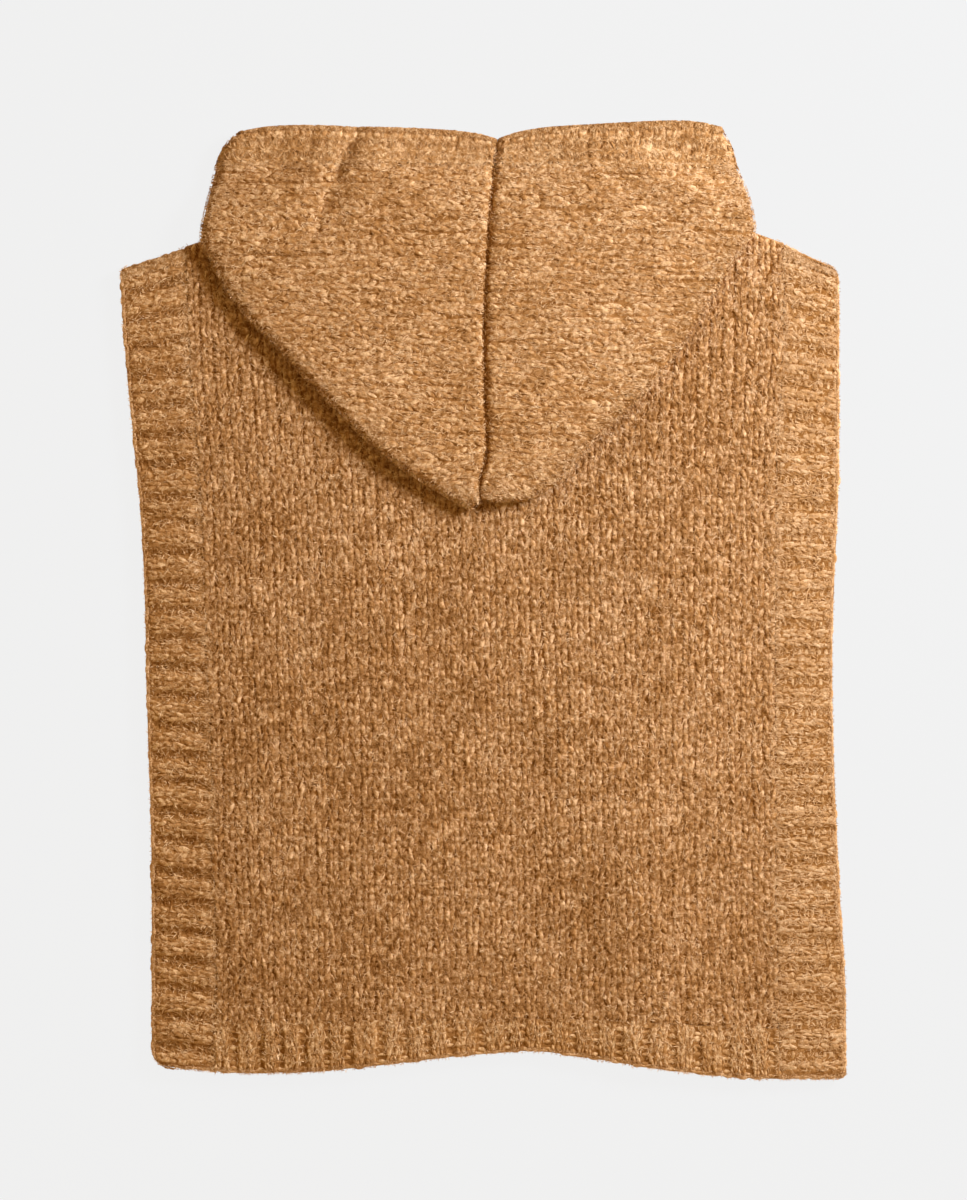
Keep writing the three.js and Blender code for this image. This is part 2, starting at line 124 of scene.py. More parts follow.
def front_top(x):
    share = np.clip(np.abs(x) / NECK_HALF_WIDTH, 0, 1)
    neck = 312.5 + 7 * (x / NECK_HALF_WIDTH + 1) / 2 - FRONT_NECK_DROP * (1 - share**2.6)
    return np.where(np.abs(x) < NECK_HALF_WIDTH, neck, back_top(x))


def between_bands(s, y):
    left = read(BODY, "left_seam", y) + SEAM_GAP / 2
    right = read(BODY, "right_seam", y) - SEAM_GAP / 2
    return left + (right - left) * s


def panel_places(lower, upper, wide, tall, columns, rows):
    """Places on the body between the side bands, as rows: x, y and the distances from each side."""
    s = columns[None, :] / wide
    low, high = lower(between_bands(s, -320)), upper(between_bands(s, 270))
    y = low + (high - low) * rows[:, None] / tall
    x = between_bands(s, y)
    side = np.broadcast_to(np.minimum(columns, wide - columns)[None, :], x.shape)
    below = np.broadcast_to(rows[:, None], x.shape)
    return x, y, side, below, tall - below


def cloth_wall(name, outer, inner, pattern=None):
    """A closed wall of cloth between two sheets of points, which a doubled grid is bent to."""
    rows, columns = outer.shape[:2]
    build = bmesh.new()
    bmesh.ops.create_grid(build, x_segments=columns - 1, y_segments=rows - 1, size=1)
    for index, corner in enumerate(build.verts):
        corner.co = (index % columns, index // columns, 0)
    doubled = bmesh.ops.extrude_face_region(build, geom=build.faces[:], use_keep_orig=True)
    for part in doubled["geom"]:
        if isinstance(part, bmesh.types.BMVert):
            part.co.z = 1
    bmesh.ops.recalc_face_normals(build, faces=build.faces[:])
    mesh = bpy.data.meshes.new(name)
    build.to_mesh(mesh)
    build.free()
    places = np.empty(len(mesh.vertices) * 3)
    mesh.vertices.foreach_get("co", places)
    column, row, layer = places.reshape(-1, 3).round().astype(int).T
    points = np.where(layer[:, None] == 1, outer[row, column], inner[row, column])
    mesh.vertices.foreach_set("co", (points * 0.001).ravel())
    mesh.update()
    corners = np.empty(len(mesh.loops), dtype=int)
    mesh.loops.foreach_get("vertex_index", corners)
    quads = points[corners].reshape(-1, 4, 3)
    volume = np.einsum("ij,ij->i", quads[:, 0], np.cross(quads[:, 1], quads[:, 2])).sum()
    volume += np.einsum("ij,ij->i", quads[:, 0], np.cross(quads[:, 2], quads[:, 3])).sum()
    if pattern is not None:
        layout = mesh.uv_layers.new(name="stitches")
        layout.data.foreach_set("uv", pattern[row, column][corners].ravel())
    if volume < 0:
        mesh.flip_normals()
    mesh.shade_smooth()
    piece = bpy.data.objects.new(name, mesh)
    bpy.context.scene.collection.objects.link(piece)
    return piece


def linear(colour):
    """An sRGB hex colour as linear red, green, blue and alpha."""
    channels = [int(colour[i:i + 2], 16) / 255 for i in (1, 3, 5)]
    return (*[c / 12.92 if c <= 0.04045 else ((c + 0.055) / 1.055) ** 2.4 for c in channels], 1)


def add_node(tree, kind, values=None, links=None):
    """Adds a node, with its settings or unlinked sockets' values, and the sockets that feed it."""
    node = tree.nodes.new(kind)
    for key, value in (values or {}).items():
        if isinstance(key, int) or key in node.inputs:
            node.inputs[key].default_value = value
        else:
            setattr(node, key, value)
    for key, socket in (links or {}).items():
        tree.links.new(socket, node.inputs[key])
    return node


def melange_yarn(name, dark, middle, light, relief=0.0, shade=0.0, sheen=0.45):
    """Brushed wool and alpaca melange yarn: matt, fuzzy, and flecked with paler and darker fibres."""
    material = bpy.data.materials.new(name)
    material.use_nodes = True
    tree = material.node_tree
    tree.nodes.clear()
    place = add_node(tree, "ShaderNodeTexCoord").outputs["Object"]
    # Flecks of 3.5 mm, blotches of 9 mm and clouds of 60 mm, and each stitch's own tone.
    tone = add_node(tree, "ShaderNodeAttribute", {"attribute_name": "tone"})
    # A shade darkens the whole yarn, as painted shade, and a negative one lightens it, as painted light.
    mixed = add_node(tree, "ShaderNodeMath", {"operation": "MULTIPLY_ADD", 1: 0.05, 2: -shade},
                     {0: tone.outputs["Fac"]})
    for scale, detail, weight in ((280.0, 3.0, 0.72), (110.0, 1.0, 0.16), (16.0, 1.0, 0.12)):
        noise = add_node(tree, "ShaderNodeTexNoise", {"Scale": scale, "Detail": detail, "Roughness": 0.6},
                         {"Vector": place})
        mixed = add_node(tree, "ShaderNodeMath", {"operation": "MULTIPLY_ADD", 1: weight},
                         {0: noise.outputs["Fac"], 2: mixed.outputs[0]})
    ramp = add_node(tree, "ShaderNodeValToRGB", links={"Fac": mixed.outputs[0]})
    ramp.color_ramp.elements[0].position = 0.34
    ramp.color_ramp.elements[0].color = linear(dark)
    ramp.color_ramp.elements[1].position = 0.68
    ramp.color_ramp.elements[1].color = linear(light)
    ramp.color_ramp.elements.new(0.5).color = linear(middle)
    tufts = add_node(tree, "ShaderNodeTexNoise", {"Scale": 430.0, "Detail": 1.0}, {"Vector": place})
    bump = add_node(tree, "ShaderNodeBump", {"Strength": 0.5, "Distance": 0.0012},
                    {"Height": tufts.outputs["Fac"]})
    fibres = add_node(tree, "ShaderNodeTexNoise", {"Scale": 1300.0, "Detail": 2.0}, {"Vector": place})
    bump = add_node(tree, "ShaderNodeBump", {"Strength": 0.5, "Distance": 0.0006},
                    {"Height": fibres.outputs["Fac"], "Normal": bump.outputs["Normal"]})
    if relief:
        bump = stitch_relief(tree, relief, bump.outputs["Normal"])
    shader = add_node(tree, "ShaderNodeBsdfPrincipled",
                      {"Roughness": 0.95, "Specular IOR Level": 0.15, "Sheen Weight": sheen,
                       "Sheen Roughness": 0.5, "Sheen Tint": linear(light)},
                      {"Base Color": ramp.outputs["Color"], "Normal": bump.outputs["Normal"]})
    add_node(tree, "ShaderNodeOutputMaterial", links={"Surface": shader.outputs[0]})
    return material


def stitch_relief(tree, height, normal):
    """Bump of knit stitches where the cloth is smooth: V legs in columns, one stitch to a UV unit."""
    layout = add_node(tree, "ShaderNodeUVMap", {"uv_map": "stitches"})
    across, along, _ = add_node(tree, "ShaderNodeSeparateXYZ", links={0: layout.outputs[0]}).outputs
    column = add_node(tree, "ShaderNodeMath", {"operation": "FRACT"}, {0: across})
    side = add_node(tree, "ShaderNodeMath", {"operation": "SUBTRACT", 1: 0.5}, {0: column.outputs[0]})
    side = add_node(tree, "ShaderNodeMath", {"operation": "ABSOLUTE"}, {0: side.outputs[0]})
    leg = add_node(tree, "ShaderNodeMath", {"operation": "MULTIPLY", 1: 2 * math.pi}, {0: side.outputs[0]})
    leg = add_node(tree, "ShaderNodeMath", {"operation": "SINE"}, {0: leg.outputs[0]})
    climb = add_node(tree, "ShaderNodeMath", {"operation": "MULTIPLY_ADD", 1: -1.7},
                     {0: side.outputs[0], 2: along})
    course = add_node(tree, "ShaderNodeMath", {"operation": "FRACT"}, {0: climb.outputs[0]})
    course = add_node(tree, "ShaderNodeMath", {"operation": "MULTIPLY", 1: math.pi}, {0: course.outputs[0]})
    course = add_node(tree, "ShaderNodeMath", {"operation": "SINE"}, {0: course.outputs[0]})
    stitch = add_node(tree, "ShaderNodeMath", {"operation": "MULTIPLY"},
                      {0: leg.outputs[0], 1: course.outputs[0]})
    stitch = add_node(tree, "ShaderNodeMath", {"operation": "POWER", 1: 0.6}, {0: stitch.outputs[0]})
    return add_node(tree, "ShaderNodeBump", {"Strength": 0.9, "Distance": height},
                    {"Height": stitch.outputs[0], "Normal": normal})


smooth_knit = melange_yarn("camel_melange_stockinette", YARN_DARK, YARN_MIDDLE, YARN_LIGHT, relief=0.0018)


def stitch_layout(x, y):
    return np.stack([x / WALE, y / COURSE], axis=-1)


def front_piece(name, lower, upper, tall, step):
    columns = np.linspace(0, PANEL_WIDE, 90)
    rows = np.arange(0, tall + 1, step)
    x, y, *_ = panel_places(lower, upper, PANEL_WIDE, tall, columns, rows)
    bottom = np.stack([x, y, np.zeros_like(x)], axis=-1)
    top = np.stack([x, y, np.full_like(x, WALL)], axis=-1)
    piece = cloth_wall(name, bottom, top, stitch_layout(x, y))
    piece.data.materials.append(smooth_knit)
    return piece


front = front_piece("front_knit", panel_bottom, front_top, PANEL_TALL, 12.5)
front_hem = front_piece("front_hem_knit", lambda x: hem_line(x) + FRONT_INSET, rib_top, HEM_RIB_TALL, 8.5)
for piece, node, slot in ((front, "front_panel", "body_knit"), (front_hem, "front_hem_rib", "rib_knit")):
    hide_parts(node)
    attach(piece, "root")


# The back of the vest, which shows most. It is stockinette in bulky brushed yarn, so each stitch
# is a V of two thick legs, and it stands up in low folds where it doesn't lie tight on the front.
KNIT_DEPTH = 1.3
YARN_THICK = 4.5
YARN_RISE = 2.1
# The darkest colour of the painted shade between the stitches.
YARN_PAINTED_SHADE = "#693A0D"
FIBRE_LIGHT = "#E9C094"
BACK_FIBRES = 92000
# Stitches stop this far in under the hood, where nothing shows.
HIDDEN_INSET = 14.0
EDGE_ROLL = 3.5
SEAM_DIP = 0.1
SEAM_DIP_WIDTH = 2.5
SWELLS = [
    # x, y, half length, half width, turn, rise
    (-20, 40, 260, 150, 90, 1.2),
    (-86, -190, 230, 48, 90, 2.6),
    (-158, -150, 200, 42, 95, 1.6),
    (118, -275, 185, 40, 98, 3.6),
    (145, -20, 205, 48, 89, 2.3),
    (-62, 84, 55, 16, -40, -1.0),
]
# The hood's folds, which hide a part of the back: depth down from the face edge, and the place.
FOLDS = {
    -1: columns_of("depth x y", [
        (0, -184, 356), (9, -195, 347.5), (20, -202, 333), (40, -207, 314), (60, -211, 294),
        (79, -213.9, 273), (95, -206, 257), (117, -194.2, 234.1), (135, -180, 216), (155, -161, 196.5),
        (175, -142, 176), (195, -123.5, 157), (215, -103, 136), (232, -84, 117.5), (247, -62, 100.3),
        (259, -40, 86.5), (268, -24, 76.5), (276, -10, 68.6),
    ]),
    1: columns_of("depth x y", [
        (0, 180, 359.5), (9, 188, 344), (20, 192, 330), (40, 199.5, 311), (60, 203.8, 292),
        (72, 204.8, 279.5), (88, 194.5, 263), (100, 186, 251), (117, 176.5, 234), (135, 165.5, 216),
        (155, 153, 196), (175, 138, 175.6), (195, 121, 155), (215, 100.7, 136), (232, 83, 119),
        (247, 69, 102.5), (259, 56, 88), (268, 36, 77.5), (276, 12, 75),
    ]),
}
random = np.random.default_rng(11)


def swell(x, y):
    total = np.zeros(np.broadcast(x, y).shape)
    for middle_x, middle_y, long, wide, turn, rise in SWELLS:
        cos, sin = math.cos(math.radians(turn)), math.sin(math.radians(turn))
        along = (x - middle_x) * cos + (y - middle_y) * sin
        across = (y - middle_y) * cos - (x - middle_x) * sin
        total += rise * np.exp(-((along / long) ** 2) - (across / wide) ** 2)
    return total


def wander(x, y, size, seed):
    """Smooth unevenness from -1 to 1, with waves of about the given size."""
    waves = np.random.default_rng(seed)
    total = np.zeros(np.broadcast(x, y).shape)
    for _ in range(7):
        turn, phase = waves.uniform(0, 2 * math.pi, 2)
        pace = 2 * math.pi / (size * waves.uniform(0.7, 1.5))
        total += np.sin((x * math.cos(turn) + y * math.sin(turn)) * pace + phase)
    return total / 3.5


def back_low(x, y):
    return WALL + SEAM_GAP + swell(x, y)


def back_high(x, y):
    return back_low(x, y) + WALL


def roll(distance):
    """How far the cloth's face sinks towards a free edge."""
    inward = np.clip(EDGE_ROLL - distance, 0, EDGE_ROLL)
    return EDGE_ROLL - np.sqrt(EDGE_ROLL**2 - inward**2)


def dip(distance):
    """How far the cloth's face sinks towards a seam."""
    return SEAM_DIP * np.clip(1 - distance / SEAM_DIP_WIDTH, 0, 1)


def steps_with_ends(length, step, fine=1.2):
    """Places along a length, with closer ones at both ends, where the cloth turns down."""
    end = np.arange(0, EDGE_ROLL, fine)
    count = int(round((length - 2 * EDGE_ROLL) / step))
    return np.r_[end, np.linspace(EDGE_ROLL, length - EDGE_ROLL, count), length - end[::-1]]


def back_surface(x, y):
    """The ground that the back's stitches stand on."""
    z = back_high(x, y) - KNIT_DEPTH + 0.35 * wander(x, y, 90, 3) + 0.2 * wander(x, y, 28, 4)
    return np.stack([x, y, z - np.minimum(roll(back_top(x) - y), EDGE_ROLL - KNIT_DEPTH)], axis=-1)


def outward(surface, u, v, height):
    """Points at a height off a surface, and the surface's way out there."""
    step = 0.4
    along_u = surface(u + step, v) - surface(u - step, v)
    along_v = surface(u, v + step) - surface(u, v - step)
    normal = np.cross(along_u, along_v)
    normal /= np.linalg.norm(normal, axis=-1, keepdims=True) + 1e-9
    if np.median(normal[..., 2]) < 0:
        normal = -normal
    return surface(u, v) + normal * height[..., None], normal


def joined(name, points, quads, tone, material):
    """Many copies of one small shape as a single mesh. points has a row of places for each copy."""
    copies, corners = points.shape[:2]
    # No yarn reaches below the surface that the vest lies on.
    points[..., 2] = np.maximum(points[..., 2], 0)
    faces = (quads + corners * np.arange(copies)[:, None, None]).reshape(-1, quads.shape[-1])
    mesh = bpy.data.meshes.new(name)
    mesh.from_pydata((points.reshape(-1, 3) * 0.001).tolist(), [], faces.tolist())
    layer = mesh.attributes.new("tone", "FLOAT", "POINT")
    layer.data.foreach_set("value", np.repeat(tone, corners))
    mesh.shade_smooth()
    mesh.materials.append(material)
    piece = bpy.data.objects.new(name, mesh)
    bpy.context.scene.collection.objects.link(piece)
    return piece


def yarn_lobes(name, surface, start, end, thick, material, rise=YARN_RISE, lift=0.0, steps=3, around=3):
    """Short stretches of thick yarn on a surface, each from a start to an end, sunk at both ends."""
    build = bmesh.new()
    bmesh.ops.create_grid(build, x_segments=around, y_segments=steps, size=0.5)
    places = np.array([corner.co[:] for corner in build.verts]) + 0.5
    quads = np.array([[corner.index for corner in face.verts] for face in build.faces])
    build.free()
    t, angle = places[:, 1][None], places[:, 0][None] * math.pi
    count = len(start)
    thick, rise, lift = (np.broadcast_to(value, count)[:, None] for value in (thick, rise, lift))
    uneven = random.normal(size=(3, count, 1))
    way = end - start
    side = np.stack([-way[:, 1], way[:, 0]], axis=1) / np.linalg.norm(way, axis=1, keepdims=True)
    wide = thick / 2 * (0.48 + 0.52 * np.sin(math.pi * (0.1 + 0.8 * t))) * (1 + 0.18 * uneven[0])
    bow = 0.5 * uneven[1] * np.sin(math.pi * t)
    over = np.cos(angle) * wide + bow
    u = start[:, :1] + way[:, :1] * t + side[:, :1] * over
    v = start[:, 1:] + way[:, 1:] * t + side[:, 1:] * over
    body = 0.2 + 0.8 * np.sin(math.pi * (0.06 + 0.88 * t))
    height = lift + rise * body * np.sin(angle) * (1 + 0.14 * uneven[2]) - 0.6
    points, normal = outward(surface, u, v, height)
    a, b, c, d = (points[:, quads[:, i]] for i in range(4))
    inward = np.einsum("nqi,nqi->n", np.cross(c - a, d - b), normal[:, quads[:, 0]]) < 0
    turned = np.where(inward[:, None, None], quads[None, :, ::-1], quads[None])
    tone = np.clip(random.normal(size=count), -2.2, 2.2)
    return joined(name, points, turned, tone, material)


def v_legs(u, v, wale, course, grow=1, rough=1.0, least=-1e4):
    """Starts and ends of both legs of V stitches at places: u across the columns and v along them."""
    count = len(u)
    wale, course = np.broadcast_to(wale, count), np.broadcast_to(course, count)
    starts, ends = [], []
    for side in (-1, 1):
        uneven = np.clip(random.normal(size=(4, count)), -2, 2) * rough
        start_v = v + grow * (-0.35 * course + 0.8 * uneven[1])
        end_v = v + grow * (1.1 * course + 0.8 * uneven[3])
        starts.append(np.stack([u + side * 0.07 * wale + 0.5 * uneven[0], start_v], axis=1))
        ends.append(np.stack([u + side * 0.35 * wale + 0.6 * uneven[2], end_v], axis=1))
    starts, ends = np.concatenate(starts), np.concatenate(ends)
    starts[:, 1], ends[:, 1] = np.maximum(starts[:, 1], least), np.maximum(ends[:, 1], least)
    return starts, ends


def fuzz(name, surface, u, v, spread, material, short=1.0, least=-1e4, across=0.8):
    """Loose wisps that brushing has raised: slim curved blades that start among the stitches. They
    lie more along the columns (v) than across them (u) where across is less than 1."""
    count = len(u)
    turn = random.uniform(0, 2 * math.pi, count)
    length = random.uniform(2.5, 6.5, count) * short
    way = np.stack([across * np.cos(turn), np.sin(turn)], axis=1)
    side = np.stack([-way[:, 1], way[:, 0]], axis=1)
    root = np.stack([u, v], axis=1) + random.uniform(-0.5, 0.5, (count, 2)) * spread
    bend = 0.15 + np.abs(random.normal(size=count)) * 0.07 * length
    up = random.uniform(0.3, 1.2, count)
    stations = [(0, 0.15, 0.35), (0, -0.15, 0.35), (1, 0, 1), (0.5, bend, 0.8)]
    places = [root + way * (length * share)[:, None] + side * np.broadcast_to(off, count)[:, None]
              for share, off, _ in stations]
    height = np.stack([YARN_RISE - 1.2 + up * share for _, _, share in stations], axis=1)
    u, v = np.stack(places, axis=2).transpose(1, 0, 2)
    points, _ = outward(surface, u, np.maximum(v, least), height)
    blade = np.array([[0, 1, 3], [1, 2, 3]])
    return joined(name, points, np.broadcast_to(blade, (count, 2, 3)), random.normal(size=count), material)


def under_hood(x, y, inset):
    """Whether places on the back lie under the hood, further in than an inset from its edge."""
    left, right = (np.interp(y - inset, FOLDS[side]["y"][::-1], FOLDS[side]["x"][::-1]) for side in (-1, 1))
    return (y > 74 + inset) & (x > left + inset) & (x < right - inset)


# Painted shade: the cloth's face down between the stitches is coloured darker, for the shade that falls
# there.
painted_shade_knit = melange_yarn("camel_melange_painted_shade_between_stitches", YARN_PAINTED_SHADE, YARN_DARK, YARN_MIDDLE)


def dress(piece, between):
    """The given ground where stitches stand on the cloth's face, mostly a darker yarn that paints the shade
    between them, and stitches in relief where none do.
    """
    faces = piece.data.polygons
    normals = np.empty(len(faces) * 3)
    faces.foreach_get("normal", normals)
    for material in (smooth_knit, between):
        piece.data.materials.append(material)
    faces.foreach_set("material_index", (normals[2::3] > 0.7).astype(int))


x, y, side, below, _ = panel_places(panel_bottom, back_top, PANEL_WIDE, PANEL_TALL,
                                    steps_with_ends(PANEL_WIDE, 6), steps_with_ends(PANEL_TALL, 6))
outer = back_surface(x, y)
outer[..., 2] -= dip(side) + dip(below)
inner = np.stack([x, y, back_low(x, y)], axis=-1)
back = cloth_wall("back_knit", outer, inner, stitch_layout(x, y))
dress(back, painted_shade_knit)

stitch_yarn = melange_yarn("camel_melange_bulky_yarn", YARN_DARK, YARN_MIDDLE, YARN_LIGHT, shade=-0.01)
columns = round(PANEL_WIDE / WALE)
share, v = np.meshgrid((np.arange(columns) + 0.5) / columns, np.arange(-330, 322, COURSE))
u, v = between_bands(share, v).ravel(), v.ravel()
u, v = u + 0.8 * wander(u, v, 130, 5), v + 1.6 * wander(u, v, 120, 6)
on_back = (v > hem_seam(u) - 2) & (v < back_top(u) - 3.5) & ~under_hood(u, v, HIDDEN_INSET)
start, end = v_legs(u[on_back], v[on_back], WALE, COURSE)
end[:, 1] = np.minimum(end[:, 1], back_top(end[:, 0]) - 0.8)
back_stitches = yarn_lobes("back_stitches", back_surface, start, end, YARN_THICK, stitch_yarn)
loose_fibres = melange_yarn("camel_melange_loose_fibres", YARN_DARK, YARN_MIDDLE, FIBRE_LIGHT, sheen=0.3)
pick = random.choice(np.flatnonzero(on_back), BACK_FIBRES)
short = np.clip((back_top(u[pick]) - v[pick]) / 8, 0.3, 1)
back_fuzz = fuzz("back_fuzz", back_surface, u[pick], v[pick], WALE, loose_fibres, short, across=0.9)
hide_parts("back_panel")
for piece in (back, back_stitches, back_fuzz):
    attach(piece, "root")


# The rib along the back's hem. It is knitted two and two, so pairs of upright columns stand out
# and the purl columns between them draw in as grooves, which aren't quite even.
RIB_RISE = 2.0
RIB_FADE = 9.0
HEM_FIBRES = 10000
# The free edge's chain of bound off stitches, which overhangs the edge by the brim.
CHAIN_LINK = 5.4
CHAIN_THICK = 3.2
CHAIN_RISE = 1.7
BRIM = 2.3
# The ribs and the hood stand up from the body and catch more light, so their yarn and wisps are painted
# paler: painted light.
RAISED_LIT_DARK = "#96632F"
RAISED_LIT_LIGHT = "#E0B484"
painted_light_raised_yarn = melange_yarn("camel_melange_painted_light_raised_yarn", RAISED_LIT_DARK, YARN_MIDDLE, RAISED_LIT_LIGHT,
                            shade=-0.02)
painted_light_fibres = melange_yarn("camel_melange_painted_light_fibres", RAISED_LIT_DARK, "#B58350", "#E5BC8F",
                           shade=-0.035, sheen=0.3)
# Painted shade: a darker ground under the rib and hood stitches, for the shade between them.
painted_shade_between_ribs = melange_yarn("camel_melange_painted_shade_between_ribs", "#744415", "#91602F", YARN_MIDDLE)
# The outermost stitches have the palest yarn: a painted highlight along the rims, where the pale surface
# lights them.
painted_rim_light_yarn = melange_yarn("camel_melange_painted_rim_light_yarn", "#A87542", "#C4925F", YARN_LIGHT, shade=-0.03)
HEM_GROOVES = np.array([
    -207.5, -190.4, -169.1, -155.4, -137.2, -118.9, -103.7, -77.1, -59.7, -42.2, -25.5, -1.1, 18.6,
    29.3, 49.0, 68.0, 84.7, 103.0, 122.7, 143.3, 162.3, 185.1, 201.0, 218.5, 236.0,
])


def ribs_at(at, grooves, broad=3.4):
    """A row of ribs: from 0 in each groove to 1 on the broad top of the rib beside it."""
    place = np.interp(at, grooves, np.arange(len(grooves)))
    return 1 - np.abs(2 * (place - np.floor(place)) - 1) ** broad


def hem_surface(x, y):
    low, high = y - hem_line(x), hem_seam(x) - y
    fade = np.clip(np.minimum(low + 1.5, high) / RIB_FADE, 0, 1)
    clear = 0.65 + 0.3 * wander(x, 0, 150, 7) + 0.7 * np.exp(-(((x + 168) / 30) ** 2))
    z = back_high(x, y) - KNIT_DEPTH + RIB_RISE * clear * (ribs_at(x, HEM_GROOVES) - 0.15) * fade
    return np.stack([x, y, z - 0.8 * roll(low) + 0.25 * wander(x, y, 30, 8)], axis=-1)


def hem_brim(x, y):
    """The hem's ground without its last roll down, for the yarn that overhangs the edge."""
    place = hem_surface(x, y)
    place[..., 2] = hem_surface(x, np.maximum(y, hem_line(x) + BRIM))[..., 2] - 0.3
    return place


def bound_off(along, at):
    """Starts and ends of the chain that closes a rib's free edge, its links lying along it."""
    places = np.stack([along, at + 0.1 * random.normal(size=len(along))], axis=1)
    return places[:-1], places[1:] + (places[1:] - places[:-1]) * 0.7


def rib_columns(grooves):
    """The middles of both knit columns of each rib, and how wide each is."""
    width = np.diff(grooves)
    return np.r_[grooves[:-1] + 0.33 * width, grooves[:-1] + 0.67 * width], np.tile(0.33 * width, 2)


x, y, side, _, above = panel_places(hem_line, rib_top, PANEL_WIDE, HEM_RIB_TALL,
                                    steps_with_ends(PANEL_WIDE, 2), steps_with_ends(HEM_RIB_TALL, 2.5))
outer = hem_surface(x, y)
outer[..., 2] -= np.minimum(dip(side) + dip(above), EDGE_ROLL - KNIT_DEPTH)
inner = np.stack([x, y, back_low(x, y)], axis=-1)
outer[..., 2] = np.maximum(outer[..., 2], inner[..., 2] + 1)
back_hem = cloth_wall("back_hem_knit", outer, inner, stitch_layout(x, y))
dress(back_hem, painted_shade_between_ribs)

middles, widths = rib_columns(HEM_GROOVES)
u, up = np.meshgrid(middles, np.arange(1.5, HEM_RIB_TALL + 2, COURSE))
wale = np.broadcast_to(widths, u.shape).ravel()
u, v = (u + 0.5 * wander(u, up, 40, 9)).ravel(), (hem_line(u) + up).ravel()
inside = (u > between_bands(0, v) + 1) & (u < between_bands(1, v) - 1) & (v < hem_seam(u) - 3)
start, end = v_legs(u[inside], v[inside], wale[inside], COURSE)
start[:, 1] = np.maximum(start[:, 1], hem_line(start[:, 0]) + 0.5)
thick = np.tile(0.55 * wale[inside], 2)
hem_stitches = yarn_lobes("hem_stitches", hem_surface, start, end, thick, painted_light_raised_yarn, rise=1.8)
pick = random.choice(np.flatnonzero(inside), HEM_FIBRES)
at_edge = random.random(HEM_FIBRES) < 0.4
up = np.where(at_edge, random.uniform(-0.5, 3.5, HEM_FIBRES), v[pick] + 2 - hem_line(u[pick]))
hem_fuzz = fuzz("hem_fuzz", hem_brim, u[pick], hem_line(u[pick]) + up, (WALE, 0), painted_light_fibres,
                np.clip(up / 12, 0.3, 1))
u, up = (places.ravel() for places in np.meshgrid(HEM_GROOVES[1:-1], np.arange(3, HEM_RIB_TALL, COURSE)))
v = hem_line(u) + up + random.normal(size=len(u)) * 0.6
v, u = v[v < hem_seam(u) - 2], u[v < hem_seam(u) - 2]
half = random.uniform(2.2, 3.2, len(u))
start = np.stack([u - half, v], axis=1)
end = np.stack([u + half, v + 0.6 * random.normal(size=len(u))], axis=1)
hem_purls = yarn_lobes("hem_purls", hem_surface, start, end, 4.2, painted_light_raised_yarn, rise=2.0)
u = np.arange(between_bands(0, -340) + 2, between_bands(1, -340) - 8, CHAIN_LINK)
start, end = bound_off(u, hem_line(u) + 1.5)
hem_edge = yarn_lobes("hem_bound_off_edge", hem_brim, start, end, CHAIN_THICK, painted_rim_light_yarn, rise=CHAIN_RISE)
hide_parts("back_hem_rib")
for piece in (back_hem, hem_stitches, hem_purls, hem_edge, hem_fuzz):
    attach(piece, "root")


# The rib bands down both sides. Each was knitted outwards from the side, so its ribs lie across
# it, and it runs from the back's hem over the shoulder to the front's hem.
BAND_WIDE = 46.0
BAND_INSET = 1.5
BAND_SLOPE = 0.04
BAND_FIBRES = 16000
EDGE_WISPS = 4000
SEAM_WISPS = 1800
SHOULDER_TURN = WALL + SEAM_GAP / 2
# Painted shade: a darker copy of the yarn for the left band's purls down in the grooves.
painted_shade_yarn = melange_yarn("camel_melange_painted_shade_in_grooves", YARN_DARK, YARN_MIDDLE, YARN_LIGHT, shade=0.1)
# Painted light: a paler copy of the yarn for the right band, on the side that faces the softbox.
painted_light_yarn = melange_yarn("camel_melange_painted_light_yarn", "#AA7A47", "#BD8D5D", "#D8AF83",
                          shade=-0.03, sheen=0.38)
# The ribs stand out more on the left and the right side's wool is flatter; the right band's paler yarn is
# painted light.
BANDS = {
    "left": {
        "side": -1, "node": "side_band_left", "hem_corner": 13.0, "shoulder_corner": 4.0,
        "deep": 1.5, "stitch_rise": 1.5, "purl_rise": 1.2,
        "yarn": painted_light_raised_yarn, "purl_yarn": painted_shade_yarn, "wisps": painted_light_fibres,
        "grooves": [
            -366, -341, -317.7, -296.4, -275.1, -253.1, -231, -208.2, -183.9, -162.6, -139.1, -118.6,
            -96.5, -73, -50.9, -30.4, -7.6, 11.4, 36.5, 59.3, 78.3, 103.4, 125.4, 148.2, 171.8, 195.3,
            216.6, 238.5, 262,
        ],
    },
    "right": {
        "side": 1, "node": "side_band_right", "hem_corner": 5.0, "shoulder_corner": 13.0,
        "deep": 0.45, "stitch_rise": 1.2, "purl_rise": 0.9,
        "yarn": painted_light_yarn, "purl_yarn": painted_light_yarn, "wisps": painted_light_yarn,
        "grooves": [
            -370, -346, -321.5, -302.5, -279.7, -259.9, -237.9, -217.4, -198.4, -176.3, -152, -129.2,
            -107.2, -85.9, -62.3, -39.5, -18.2, 4.6, 27.4, 47.1, 70.7, 92, 114.8, 139.1, 164.9, 191.5,
            217.4, 240, 264,
        ],
    },
}


def band_ends(band, name):
    """Where a band's outer edge and its seam end, at the hem and at the shoulder."""
    edge, seam = BODY[f"{name}_edge"], BODY[f"{name}_seam"]
    hem = hem_line(edge[0]), hem_line(seam[0])
    shoulder = back_top(edge[-1]), back_top(seam[-1])
    return hem, shoulder


def corner(radius, distance):
    inward = np.clip(radius - distance, 0, radius)
    return radius - np.sqrt(radius**2 - inward**2)


def band_lean(name, distance):
    hem, shoulder = band_ends(BANDS[name], name)
    share = np.clip(distance / (shoulder[0] - hem[0]), 0, 1)
    return (hem[1] - hem[0]) * (1 - share) + (shoulder[1] - shoulder[0]) * share**6


